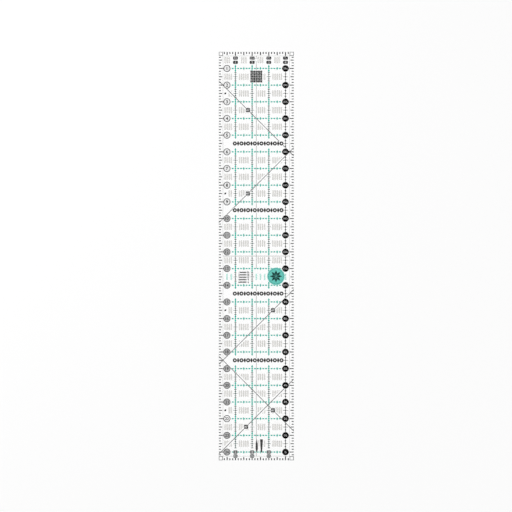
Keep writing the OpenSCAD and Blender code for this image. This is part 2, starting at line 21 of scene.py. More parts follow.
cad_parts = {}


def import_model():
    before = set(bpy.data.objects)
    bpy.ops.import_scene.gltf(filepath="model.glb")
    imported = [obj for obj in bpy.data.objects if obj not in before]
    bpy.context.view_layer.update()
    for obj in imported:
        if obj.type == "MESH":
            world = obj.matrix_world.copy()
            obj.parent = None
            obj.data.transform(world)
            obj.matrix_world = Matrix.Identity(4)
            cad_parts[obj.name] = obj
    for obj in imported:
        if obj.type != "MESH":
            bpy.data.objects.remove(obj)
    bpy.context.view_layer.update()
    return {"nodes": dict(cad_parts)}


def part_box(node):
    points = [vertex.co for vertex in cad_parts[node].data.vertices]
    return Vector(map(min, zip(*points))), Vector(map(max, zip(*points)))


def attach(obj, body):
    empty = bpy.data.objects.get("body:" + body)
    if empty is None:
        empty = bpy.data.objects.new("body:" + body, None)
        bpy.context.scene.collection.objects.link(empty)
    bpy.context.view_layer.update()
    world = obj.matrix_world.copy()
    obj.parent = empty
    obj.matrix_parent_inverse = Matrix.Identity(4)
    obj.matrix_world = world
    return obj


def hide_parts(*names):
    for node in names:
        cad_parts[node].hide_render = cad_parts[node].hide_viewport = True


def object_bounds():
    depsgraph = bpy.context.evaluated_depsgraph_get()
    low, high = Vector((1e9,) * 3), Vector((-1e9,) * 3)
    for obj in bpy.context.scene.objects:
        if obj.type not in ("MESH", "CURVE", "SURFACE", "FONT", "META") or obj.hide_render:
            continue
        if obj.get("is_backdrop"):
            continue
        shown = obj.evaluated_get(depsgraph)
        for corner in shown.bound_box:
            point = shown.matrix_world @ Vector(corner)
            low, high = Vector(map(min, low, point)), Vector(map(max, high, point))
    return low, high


LOG = logging.getLogger("quilting_ruler")
MM = 0.001
INCH = 25.4
TURN_STRIP = INCH / 2  # beyond the last whole inch line, at the right and bottom
SLACK = 0.001  # of an inch, so that a whole number of inches counts as whole
TOP_LABELS_DOWN = 9.675  # from the top edge to the middle of the first labels
TOP_LABEL_STEP = 6.4
BOTTOM_LABEL_STEP = 6.1
LAST_ONE_DIGIT = 9
ROUND_SIDES = 48  # flats round a ring's ground or a disc
NEAR = 0.01  # within which a point counts as on a rim
LEVEL = 0.001  # within which the ends of an edge count as level
FLAT_NORMAL = 0.95  # least height of the normal of a face that lies flat
ACRYLIC_IOR = 1.49
COLOUR = "NodeSocketColor"
NUMBER = "NodeSocketFloat"

Colour = tuple[float, float, float]
Material = bpy.types.Material
Node = bpy.types.Node
Piece = bpy.types.Object
Socket = bpy.types.NodeSocket
Tree = bpy.types.NodeTree


class Slot(Enum):
    """Material slots of the record, one of which each finish names."""

    CLEAR_ACRYLIC = "clear_acrylic"
    BLACK_INK = "black_ink"
    CHARCOAL_INK = "charcoal_ink"
    GREY_INK = "grey_ink"
    PALE_GREY_INK = "pale_grey_ink"
    WHITE_INK = "white_ink"
    TEAL_INK = "teal_ink"
    DARK_TEAL_INK = "dark_teal_ink"
    CLEAR_GRIP = "clear_grip"
    TINTED_GRIP = "tinted_grip"
    BAND_GRIP = "band_grip"


def linear(shade: float) -> float:
    """Turns a display shade from 0 to 1 into the linear value that a shader takes."""
    return shade / 12.92 if shade <= 0.04045 else ((shade + 0.055) / 1.055) ** 2.4


def grey(shade: float) -> Colour:
    """Gives a neutral display colour."""
    return (shade, shade, shade)


def paint(colour: Colour) -> tuple[float, float, float, float]:
    """Gives a display colour as an opaque linear one."""
    return (linear(colour[0]), linear(colour[1]), linear(colour[2]), 1.0)


# ---------------- workbench


def deselect() -> None:
    """Leaves nothing selected and no object active."""
    if bpy.context.object is not None and bpy.context.object.mode != "OBJECT":
        bpy.ops.object.mode_set(mode="OBJECT")
    bpy.ops.object.select_all(action="DESELECT")


def take(obj: Piece) -> None:
    """Selects one object alone and makes it active."""
    deselect()
    obj.select_set(True)
    bpy.context.view_layer.objects.active = obj


@contextmanager
def editing(obj: Piece) -> Iterator[bmesh.types.BMesh]:
    """Opens a mesh in edit mode with nothing selected.

    Args:
        obj: The object to edit.

    Returns:
        A context that gives the edit mesh and closes edit mode at its end.
    """
    take(obj)
    bpy.ops.object.mode_set(mode="EDIT")
    bpy.ops.mesh.select_all(action="DESELECT")
    yield bmesh.from_edit_mesh(obj.data)
    bpy.ops.object.mode_set(mode="OBJECT")


def bevel(
    obj: Piece,
    offset: float,
    segments: int,
    wanted: Callable[[Vector, Vector], bool] = lambda first, second: True,
) -> None:
    """Bevels edges of a piece.

    Args:
        obj: The piece.
        offset: How far the bevel reaches from an edge.
        segments: How many steps it has.
        wanted: Says of an edge's two end points whether it is meant.
    """
    with editing(obj) as mesh:
        bpy.context.tool_settings.mesh_select_mode = (False, True, False)
        for edge in mesh.edges:
            edge.select_set(wanted(edge.verts[0].co, edge.verts[1].co))
        mesh.select_flush_mode()
        bpy.ops.mesh.bevel(offset=offset, segments=segments, affect="EDGES")


def added(name: str) -> Piece:
    """Names the object just added and puts its place and size in its mesh."""
    obj = bpy.context.object
    obj.name = name
    bpy.ops.object.transform_apply(location=True, rotation=True, scale=True)
    return obj


def block(name: str, low: Vector, high: Vector) -> Piece:
    """Adds a cube between two corners.

    Args:
        name: The object's name.
        low: Lowest corner.
        high: Highest corner.

    Returns:
        The new object.
    """
    deselect()
    bpy.ops.mesh.primitive_cube_add(size=1, location=(low + high) / 2, scale=high - low)
    return added(name)


def disc(name: str, radius: float, low: float, high: float, sides: int) -> Piece:
    """Adds a flat cylinder about the Z axis.

    Args:
        name: The object's name.
        radius: Radius of the disc.
        low: Height of its lower face.
        high: Height of its upper face.
        sides: Number of flats round it.

    Returns:
        The new object.
    """
    deselect()
    bpy.ops.mesh.primitive_cylinder_add(
        vertices=sides, radius=radius, depth=high - low, location=(0, 0, (low + high) / 2)
    )
    return added(name)


def copy_to(master: Piece, moved: Matrix) -> Piece:
    """Copies a piece with a mesh of its own and moves that mesh.

    Args:
        master: The piece modelled once.
        moved: Where the copy goes.

    Returns:
        The copy.
    """
    obj = master.copy()
    obj.data = master.data.copy()
    obj.data.transform(moved)
    bpy.context.scene.collection.objects.link(obj)
    return obj


def join(name: str, parts: Sequence[Piece]) -> Piece:
    """Joins objects into one named object.

    Args:
        name: The name of the result.
        parts: The objects, which are used up.

    Returns:
        The joined object.
    """
    deselect()
    for part in parts:
        part.select_set(True)
    bpy.context.view_layer.objects.active = parts[0]
    if len(parts) > 1:
        bpy.ops.object.join()
    obj = bpy.context.object
    obj.name = name
    obj.data.name = name
    return obj


def spread_copies(name: str, master: Piece, places: Sequence[Vector]) -> Piece:
    """Copies a piece to places on the face as one object.

    Args:
        name: The name of the result.
        master: The piece modelled once about the origin, which is used up.
        places: Where the copies go.

    Returns:
        The joined copies.
    """
    copies = [copy_to(master, Matrix.Translation((p.x, p.y, 0))) for p in places]
    discard(master)
    return join(name, copies)


def apply_modifier(obj: Piece, kind: str, **settings: object) -> None:
    """Adds a modifier to a piece and applies it at once.

    Args:
        obj: The piece.
        kind: The modifier's type.
        **settings: Its settings.
    """
    take(obj)
    modifier = obj.modifiers.new(kind.lower(), kind)
    for key, value in settings.items():
        setattr(modifier, key, value)
    bpy.ops.object.modifier_apply(modifier=modifier.name)


def discard(obj: Piece) -> None:
    """Removes an object and its mesh."""
    data = obj.data
    bpy.data.objects.remove(obj)
    bpy.data.meshes.remove(data)


def finish_piece(
    obj: Piece, material: Material | None, nodes: Sequence[str]
) -> Piece:
    """Brings a piece modelled in millimetres into the frame, dresses it and lets it ride.

    Args:
        obj: The modelled piece.
        material: Its finish, or None where its faces have theirs already.
        nodes: The CAD nodes it stands for.

    Returns:
        The piece.
    """
    obj.data.transform(Matrix.Scale(MM, 4))
    obj.data.update()
    if material is not None:
        obj.data.materials.clear()
        obj.data.materials.append(material)
    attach(obj, "root")
    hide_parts(*nodes)
    triangles = sum(len(p.vertices) - 2 for p in obj.data.polygons)
    LOG.info("%s built with %d triangles for %s", obj.name, triangles, ", ".join(nodes))
    return obj


@dataclass(frozen=True)
class Face:
    """The ruler's printed face: its edges and print layer, in millimetres."""

    left: float
    right: float
    bottom: float
    top: float
    print_low: float
    print_high: float
    sheet_high: float

    @classmethod
    def from_frame(cls) -> Face:
        """Reads the face from the CAD blank and print."""
        low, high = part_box("acrylic_blank")
        ink_low, ink_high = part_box("whole_inch_rings")
        places = (low.x, high.x, low.y, high.y, ink_low.z, ink_high.z, high.z)
        return cls(*(place / MM for place in places))

    @property
    def columns(self) -> int:
        """Whole inches across, short of the half inch turn strip."""
        return int((self.right - self.left - TURN_STRIP) / INCH + SLACK)

    @property
    def rows(self) -> int:
        """Whole inches along, short of the half inch turn strip."""
        return int((self.top - self.bottom - TURN_STRIP) / INCH + SLACK)

    def at(self, across: float, down: float) -> Vector:
        """Gives a place on the print layer.

        Args:
            across: Inches from the left edge.
            down: Inches from the top edge.

        Returns:
            The place in millimetres, at the foot of the print.
        """
        return Vector((self.left + across * INCH, self.top - down * INCH, self.print_low))


# ---------------- finishes


class Wiring:
    """A node tree with helpers to add and join nodes."""

    def __init__(self, tree: Tree) -> None:
        """Takes a tree and empties it."""
        self.tree = tree
        self.tree.nodes.clear()

    def add(self, kind: str, **values: object) -> Node:
        """Adds a node and sets its plain properties.

        Args:
            kind: Its type.
            **values: Its properties.

        Returns:
            The node.
        """
        node = self.tree.nodes.new(kind)
        for key, value in values.items():
            setattr(node, key, value)
        return node

    def link(self, source: Socket, target: Socket) -> None:
        """Joins two sockets."""
        self.tree.links.new(source, target)

    def feed(self, source: Socket | float, target: Socket) -> None:
        """Joins a socket to another, or sets it to a number."""
        if isinstance(source, (int, float)):
            target.default_value = source
        else:
            self.link(source, target)

    def compute(self, operation: str, first: Socket, second: Socket | float) -> Socket:
        """Adds a Math node.

        Args:
            operation: What it does.
            first: The first value.
            second: The second value.

        Returns:
            The result.
        """
        node = self.add("ShaderNodeMath", operation=operation)
        self.link(first, node.inputs[0])
        self.feed(second, node.inputs[1])
        return node.outputs[0]


class Shading(Wiring):
    """The node tree of one material, round a Principled BSDF."""

    def __init__(self, name: str) -> None:
        """Starts a material with a Principled BSDF alone."""
        self.material = bpy.data.materials.new(name)
        self.material.use_nodes = True
        super().__init__(self.material.node_tree)
        self.output = self.add("ShaderNodeOutputMaterial")
        self.surface = self.add("ShaderNodeBsdfPrincipled")
        self.link(self.surface.outputs["BSDF"], self.output.inputs["Surface"])

    def effect(self, group: Tree, **values: object) -> Node:
        """Places an effect group and sets its named inputs.

        Args:
            group: The node group.
            **values: Input values, with _ for each space of the input's name.

        Returns:
            The group node.
        """
        node = self.add("ShaderNodeGroup")
        node.node_tree = group
        for key, value in values.items():
            node.inputs[key.replace("_", " ").title()].default_value = value
        return node

    def wear(self, effect: Node, relief: float, strength: float) -> None:
        """Feeds an effect's colour, roughness and height to the surface.

        Args:
            effect: The placed effect.
            relief: Height of its relief in millimetres.
            strength: How much of the relief shows.
        """
        self.link(effect.outputs["Colour"], self.surface.inputs["Base Color"])
        self.link(effect.outputs["Roughness"], self.surface.inputs["Roughness"])
        bump = self.add("ShaderNodeBump")
        bump.inputs["Strength"].default_value = strength
        bump.inputs["Distance"].default_value = relief * MM
        self.link(effect.outputs["Height"], bump.inputs["Height"])
        self.link(bump.outputs["Normal"], self.surface.inputs["Normal"])


class Effect(Wiring):
    """A shader node group under construction, with named inputs and outputs."""

    def __init__(self, name: str) -> None:
        """Starts an empty group that reads Object coordinates."""
        super().__init__(bpy.data.node_groups.new(name, "ShaderNodeTree"))
        self.inside = self.add("NodeGroupInput")
        self.outside = self.add("NodeGroupOutput")
        self.place = self.add("ShaderNodeTexCoord").outputs["Object"]

    def takes(self, name: str, kind: str, value: object) -> Socket:
        """Adds a named input.

        Args:
            name: The input's name.
            kind: Its socket type.
            value: Its value unless a material sets another.

        Returns:
            The socket to read inside the group.
        """
        socket = self.tree.interface.new_socket(name=name, in_out="INPUT", socket_type=kind)
        socket.default_value = value
        return self.inside.outputs[name]

    def gives(self, colour: Socket, roughness: Socket, height: Socket) -> Tree:
        """Adds the three outputs that a surface wears.

        Args:
            colour: Its colour.
            roughness: Its roughness.
            height: Its relief.

        Returns:
            The finished group.
        """
        for name, kind, source in (
            ("Colour", COLOUR, colour),
            ("Roughness", NUMBER, roughness),
            ("Height", NUMBER, height),
        ):
            self.tree.interface.new_socket(name=name, in_out="OUTPUT", socket_type=kind)
            self.link(source, self.outside.inputs[name])
        return self.tree

    def noise(self, scale: Socket | float, detail: float, place: Socket | None = None) -> Socket:
        """Adds a noise pattern.

        Args:
            scale: Cells to the metre, as a socket or a number.
            detail: Octaves of detail.
            place: Coordinates to read, or None for the object's own.

        Returns:
            The pattern's value.
        """
        node = self.add("ShaderNodeTexNoise")
        node.inputs["Detail"].default_value = detail
        self.feed(scale, node.inputs["Scale"])
        self.link(place or self.place, node.inputs["Vector"])
        return node.outputs["Fac"]

    def spread(
        self,
        value: Socket,
        low: float,
        high: float,
        to_low: Socket | float,
        to_high: Socket | float,
    ) -> Socket:
        """Maps a value from one span to another, held to its ends.

        Args:
            value: The value.
            low: Start of the span it comes from.
            high: End of that span.
            to_low: What the start becomes.
            to_high: What the end becomes.

        Returns:
            The mapped value.
        """
        node = self.add("ShaderNodeMapRange")
        node.inputs["From Min"].default_value = low
        node.inputs["From Max"].default_value = high
        self.link(value, node.inputs["Value"])
        self.feed(to_low, node.inputs["To Min"])
        self.feed(to_high, node.inputs["To Max"])
        return node.outputs["Result"]

    def blend(self, fac: Socket, first: Socket, second: Socket) -> Socket:
        """Mixes two colours by a mask.

        Args:
            fac: The mask.
            first: Colour where it is 0.
            second: Colour where it is 1.

        Returns:
            The mixed colour.
        """
        node = self.add("ShaderNodeMix", data_type="RGBA")
        for index, source in ((0, fac), (6, first), (7, second)):
            self.link(source, node.inputs[index])
        return node.outputs[2]


class EffectShop:
    """Builds each shared effect once and hands it out."""

    def __init__(self) -> None:
        """Builds the three effects."""
        self.print_grain = self._print_grain()
        self.rubber_frost = self._rubber_frost()
        self.sheet_marks = self._sheet_marks()

    @staticmethod
    def _print_grain() -> Tree:
        """Builds screen print: broad mottle, thin spots of ink and a fine mesh of roughness."""
        make = Effect("screen_print_grain")
        full = make.takes("Full Colour", COLOUR, (0, 0, 0, 1))
        thin = make.takes("Thin Colour", COLOUR, (0.1, 0.1, 0.1, 1))
        mottle_scale = make.takes("Mottle Scale", NUMBER, 420.0)
        fleck_scale = make.takes("Fleck Scale", NUMBER, 5200.0)
        smooth = make.takes("Smooth", NUMBER, 0.35)
        rough = make.takes("Rough", NUMBER, 0.6)
        mottle = make.noise(mottle_scale, 3.0)
        fleck = make.noise(fleck_scale, 2.0)
        broad = make.spread(mottle, 0.35, 0.7, 0.0, 0.55)
        spots = make.spread(fleck, 0.62, 0.74, 0.0, 0.9)
        mask = make.compute("MAXIMUM", broad, spots)
        return make.gives(
            colour=make.blend(mask, full, thin),
            roughness=make.spread(fleck, 0.3, 0.7, smooth, rough),
            height=make.compute("SUBTRACT", fleck, spots),
        )

    @staticmethod
    def _rubber_frost() -> Tree:
        """Builds frosted silicone: cloudy body, tiny craters and uneven sheen."""
        make = Effect("silicone_frost")
        body = make.takes("Body Colour", COLOUR, (0.8, 0.8, 0.8, 1))
        cloud = make.takes("Cloud Colour", COLOUR, (0.9, 0.9, 0.9, 1))
        pit_scale = make.takes("Pit Scale", NUMBER, 3600.0)
        smooth = make.takes("Smooth", NUMBER, 0.45)
        rough = make.takes("Rough", NUMBER, 0.75)
        pits = make.add("ShaderNodeTexVoronoi", feature="F1")
        make.link(pit_scale, pits.inputs["Scale"])
        make.link(make.place, pits.inputs["Vector"])
        haze = make.noise(260.0, 4.0)
        return make.gives(
            colour=make.blend(make.spread(haze, 0.3, 0.7, 0.0, 1.0), body, cloud),
            roughness=make.spread(haze, 0.35, 0.65, smooth, rough),
            height=make.spread(pits.outputs["Distance"], 0.0, 0.5, 0.0, 1.0),
        )

    @staticmethod
    def _sheet_marks() -> Tree:
        """Builds handling marks on acrylic: streaks along one way and a soft haze."""
        make = Effect("acrylic_marks")
        clear = make.takes("Clear Colour", COLOUR, (1, 1, 1, 1))
        marked = make.takes("Marked Colour", COLOUR, (0.98, 0.98, 0.98, 1))
        stretch = make.takes("Stretch", "NodeSocketVector", (60.0, 60.0, 60.0))
        smooth = make.takes("Smooth", NUMBER, 0.0)
        rough = make.takes("Rough", NUMBER, 0.03)
        scaled = make.add("ShaderNodeVectorMath", operation="MULTIPLY")
        make.link(make.place, scaled.inputs[0])
        make.link(stretch, scaled.inputs[1])
        streak = make.noise(1.0, 5.0, scaled.outputs[0])
        haze = make.noise(22.0, 2.0)
        worn = make.compute("MULTIPLY", streak, haze)
        return make.gives(
            colour=make.blend(make.spread(streak, 0.45, 0.75, 0.0, 1.0), clear, marked),
            roughness=make.spread(worn, 0.15, 0.4, smooth, rough),
            height=streak,
        )


@dataclass(frozen=True)
class InkFinish:
    """A screen printed ink.

    Attributes:
        name: Name of the material.
        slot: The record's slot for it.
        colour: Display colour where the ink lies full.
        thin: Display colour where it lies thin.
        relief: Height of its grain in millimetres.
        gloss: Specular level.
        strength: How much of the relief shows.
    """

    name: str
    slot: Slot
    colour: Colour
    thin: Colour
    relief: float = 0.004
    gloss: float = 0.03
    strength: float = 0.5

    def build(self, shop: EffectShop) -> Material:
        """Builds the ink's material.

        Args:
            shop: The shared effects.

        Returns:
            The material.
        """
        shading = Shading(self.name)
        grain = shading.effect(
            shop.print_grain, full_colour=paint(self.colour), thin_colour=paint(self.thin)
        )
        shading.surface.inputs["Specular IOR Level"].default_value = self.gloss
        shading.wear(grain, self.relief, self.strength)
        return shading.material


@dataclass(frozen=True)
class GripFinish:
    """A silicone grip layer.

    Attributes:
        name: Name of the material.
        slot: The record's slot for it.
        body: Display colour of its body.
        cloud: Display colour of its cloudy places.
        cover: Share of what lies under it that it hides.
        relief: Depth of its pits in millimetres.
        gloss: Specular level.
        strength: How much of the relief shows.
    """

    name: str
    slot: Slot
    body: Colour
    cloud: Colour
    cover: float
    relief: float = 0.01
    gloss: float = 0.15
    strength: float = 0.6

    def build(self, shop: EffectShop) -> Material:
        """Builds the grip's material.

        Args:
            shop: The shared effects.

        Returns:
            The material.
        """
        shading = Shading(self.name)
        frost = shading.effect(
            shop.rubber_frost, body_colour=paint(self.body), cloud_colour=paint(self.cloud)
        )
        shading.surface.inputs["Alpha"].default_value = self.cover
        shading.surface.inputs["Specular IOR Level"].default_value = self.gloss
        shading.wear(frost, self.relief, self.strength)
        return shading.material


@dataclass(frozen=True)
class AcrylicFinish:
    """Clear cast acrylic: polished faces, cut edges, or a bore darkened as painted shade.

    Attributes:
        name: Name of the material.
        clear: Display colour that its clear places let through.
        marked: Display colour that its marked places let through.
        stretch: How many marks there are to the metre, each way.
        smooth: Least roughness.
        rough: Greatest roughness.
        relief: Height of its marks in millimetres.
        through: Share of the light that goes through, where the rest is scattered.
        strength: How much of the relief shows.
        slot: The record's slot for it.
    """

    name: str
    clear: Colour
    marked: Colour
    stretch: tuple[float, float, float]
    smooth: float
    rough: float
    relief: float
    through: float = 1.0
    strength: float = 0.3
    slot: Slot = Slot.CLEAR_ACRYLIC

    def build(self, shop: EffectShop) -> Material:
        """Builds the acrylic, which lets light straight through to the print.

        Args:
            shop: The shared effects.

        Returns:
            The material.
        """
        shading = Shading(self.name)
        marks = shading.effect(
            shop.sheet_marks,
            clear_colour=paint(self.clear),
            marked_colour=paint(self.marked),
            stretch=self.stretch,
            smooth=self.smooth,
            rough=self.rough,
        )
        shading.surface.inputs["IOR"].default_value = ACRYLIC_IOR
        shading.surface.inputs["Transmission Weight"].default_value = self.through
        shading.wear(marks, self.relief, self.strength)
        rays = shading.add("ShaderNodeLightPath").outputs
        either = shading.compute("MAXIMUM", rays["Is Shadow Ray"], rays["Is Diffuse Ray"])
        through = shading.add("ShaderNodeBsdfTransparent")
        mix = shading.add("ShaderNodeMixShader")
        shading.link(either, mix.inputs[0])
        shading.link(shading.surface.outputs["BSDF"], mix.inputs[1])
        shading.link(through.outputs["BSDF"], mix.inputs[2])
        shading.link(mix.outputs["Shader"], shading.output.inputs["Surface"])
        return shading.material


POLISHED = AcrylicFinish(
    "polished_acrylic",
    clear=(1.0, 1.0, 1.0),
    marked=(0.996, 0.998, 0.998),
    stretch=(35.0, 9.0, 35.0),
    smooth=0.0,
    rough=0.02,
    relief=0.0004,
)
CUT_EDGE = AcrylicFinish(
    "cut_acrylic_edge",
    clear=(0.84, 0.9, 0.89),
    marked=(0.93, 0.96, 0.96),
    stretch=(900.0, 900.0, 40.0),
    smooth=0.12,
    rough=0.4,
    relief=0.012,
    through=0.5,
)
# Painted shade: the bore wall is a dark grey that lets little light through, so the hanging hole
# reads as a dark mark in place of the shade inside it; its frosted cut finish is real.
PAINTED_SHADE_BORE_WALL = AcrylicFinish(
    "bored_acrylic_wall",
    clear=(0.5, 0.53, 0.53),
    marked=(0.62, 0.65, 0.65),
    stretch=(400.0, 400.0, 1500.0),
    smooth=0.2,
    rough=0.45,
    relief=0.02,
    through=0.4,
)


class Ink(Enum):
    """The inks of the print."""

    BLACK = InkFinish("black_print", Slot.BLACK_INK, grey(0.02), grey(0.07))
    SCALE = InkFinish("scale_print", Slot.BLACK_INK, grey(0.03), grey(0.12))
    CHARCOAL = InkFinish("charcoal_print", Slot.CHARCOAL_INK, grey(0.12), grey(0.22))
    LADDER = InkFinish("ladder_print", Slot.CHARCOAL_INK, (0.08, 0.26, 0.24), (0.15, 0.32, 0.3))
    ANGLE = InkFinish("angle_label_print", Slot.CHARCOAL_INK, grey(0.24), grey(0.34))
    RING = InkFinish("ring_print", Slot.CHARCOAL_INK, grey(0.16), grey(0.26))
    LABEL = InkFinish("end_label_print", Slot.CHARCOAL_INK, (0.1, 0.1, 0.12), (0.2, 0.2, 0.22))
    GREY = InkFinish("grey_print", Slot.GREY_INK, (0.44, 0.45, 0.45), grey(0.53))
    PALE_GREY = InkFinish(
        "pale_grey_print", Slot.PALE_GREY_INK, (0.5, 0.5, 0.49), (0.58, 0.58, 0.57)
    )
    BACKING = InkFinish("grey_backing_print", Slot.PALE_GREY_INK, grey(0.74), grey(0.79))
    WHITE = InkFinish("white_print", Slot.WHITE_INK, grey(0.97), grey(0.93))
    FIGURE = InkFinish("white_figure_print", Slot.WHITE_INK, grey(0.86), grey(0.78))
    TEAL = InkFinish("teal_line_print", Slot.TEAL_INK, (0.1, 0.7, 0.62), (0.28, 0.78, 0.71))
    EMBLEM = InkFinish("emblem_print", Slot.TEAL_INK, (0.4, 0.79, 0.74), (0.5, 0.84, 0.8))
    DARK_TEAL = InkFinish(
        "dark_teal_print", Slot.DARK_TEAL_INK, (0.1, 0.22, 0.21), (0.2, 0.36, 0.34)
    )


class Grip(Enum):
    """The silicone grips."""

    CLEAR = GripFinish(
        "clear_silicone", Slot.CLEAR_GRIP, (0.82, 0.81, 0.79), (0.88, 0.87, 0.85), cover=0.25
    )
    TINTED = GripFinish(
        "mint_silicone", Slot.TINTED_GRIP, (0.62, 0.95, 0.88), (0.76, 0.97, 0.93), cover=0.32
    )
    BAND = GripFinish(
        "band_silicone", Slot.BAND_GRIP, (0.14, 0.135, 0.13), (0.26, 0.255, 0.25), cover=0.95
    )


# The finish of each CAD node that keeps its own mesh
NODE_FINISHES: dict[str, Ink | Grip] = {
    "left_edge_scale": Ink.SCALE,
    "right_edge_scale": Ink.SCALE,
    "top_edge_scale": Ink.SCALE,
    "bottom_edge_scale": Ink.SCALE,
    "corner_squares": Ink.CHARCOAL,
    "seam_allowance_lines": Ink.PALE_GREY,
    "lengthwise_grid_lines": Ink.TEAL,
    "crosswise_grid_lines": Ink.TEAL,
    "eighth_inch_ladders": Ink.LADDER,
    "half_inch_guide_line": Ink.SCALE,
    "centre_lines": Ink.PALE_GREY,
    "angle_lines_45": Ink.CHARCOAL,
    "whole_inch_rings": Ink.RING,
    "grip_ribs": Grip.CLEAR,
    "tinted_grip_ribs": Grip.TINTED,
    "grip_band_rings": Grip.BAND,
    "grip_band_lozenges": Grip.BAND,
    "emblem_disc": Ink.EMBLEM,
    "emblem_star": Ink.DARK_TEAL,
    "patchwork_square": Ink.BLACK,
    "row_marks": Ink.SCALE,
    "pointer_marks": Ink.ANGLE,
}


class Paintbox:
    """Every finish, built once."""

    def __init__(self) -> None:
        """Builds the effects and the materials."""
        shop = EffectShop()
        finishes = [item.value for choice in (Ink, Grip) for item in choice]
        finishes += [POLISHED, CUT_EDGE, PAINTED_SHADE_BORE_WALL]
        self._materials = {finish.name: finish.build(shop) for finish in finishes}

    def __getitem__(self, finish: Ink | Grip | AcrylicFinish) -> Material:
        """Gives the material of a finish."""
        return self._materials[finish.value.name if isinstance(finish, Enum) else finish.name]

    def dress_nodes(self, nodes: dict[str, Piece]) -> None:
        """Gives each carried over CAD node its finish.

        Args:
            nodes: The CAD nodes by name.
        """
        for name, finish in NODE_FINISHES.items():
            material = self[finish]
            for slot in nodes[name].material_slots:
                slot.material = material
            LOG.info("%s dressed in %s", name, material.name)


# ---------------- the sheet


@dataclass
class AcrylicSheet:
    """The clear sheet: broken edges, a polished hanging hole with painted shade on its wall, lifted
    a hair off the print.
    """

    face: Face
    edge_break: float = 0.3
    edge_segments: int = 3
    lift: float = 0.02
    hole_radius: float = 2.5
    hole_sides: int = 72
    hole_in: float = 12.7
    hole_break: float = 0.35
    hole_segments: int = 2

    def build(self, paints: Paintbox) -> Piece:
        """Builds the sheet.

        Args:
            paints: The finishes.

        Returns:
            The sheet.
        """
        face = self.face
        low = Vector((face.left, face.bottom, face.print_high + self.lift))
        sheet = block("acrylic_sheet", low, Vector((face.right, face.top, face.sheet_high)))
        bevel(sheet, self.edge_break, self.edge_segments)
        self._drill(sheet)
        self._break_hole(sheet)
        centre = self._hole_centre()
        for finish in (POLISHED, CUT_EDGE, PAINTED_SHADE_BORE_WALL):
            sheet.data.materials.append(paints[finish])
        for polygon in sheet.data.polygons:
            flat = abs(polygon.normal.z) > FLAT_NORMAL
            bored = not flat and (polygon.center.xy - centre.xy).length < 2 * self.hole_radius
            # The bore's faces take the wall finish that is darkened as painted shade.
            polygon.material_index = 0 if flat else 2 if bored else 1
            polygon.use_smooth = bored
        return finish_piece(sheet, None, ["acrylic_blank"])

    def _hole_centre(self) -> Vector:
        """Gives the middle of the hanging hole."""
        return Vector(((self.face.left + self.face.right) / 2, self.face.top - self.hole_in, 0))

    def _drill(self, sheet: Piece) -> None:
        """Cuts the hanging hole."""
        drill = disc("drill", self.hole_radius, -1, self.face.sheet_high + 1, self.hole_sides)
        drill.data.transform(Matrix.Translation(self._hole_centre()))
        apply_modifier(sheet, "BOOLEAN", object=drill, operation="DIFFERENCE", solver="EXACT")
        discard(drill)

    def _break_hole(self, sheet: Piece) -> None:
        """Breaks the two rims of the hanging hole."""
        centre = self._hole_centre()

        def on_rim(first: Vector, second: Vector) -> bool:
            """Says whether an edge runs round a rim."""
            near = all((p.xy - centre.xy).length < self.hole_radius + NEAR for p in (first, second))
            return near and abs(first.z - second.z) < LEVEL

        bevel(sheet, self.hole_break, self.hole_segments, on_rim)


# ---------------- numbers


@dataclass(frozen=True)
class Number:
    """A number to be set.

    Attributes:
        text: What it says.
        place: Its middle on the print layer.
        width: Greatest width.
        height: Greatest height.
        reach: Greatest distance of its corners from its middle, or None on a straight plate.
    """

    text: str
    place: Vector
    width: float
    height: float
    reach: float | None = None


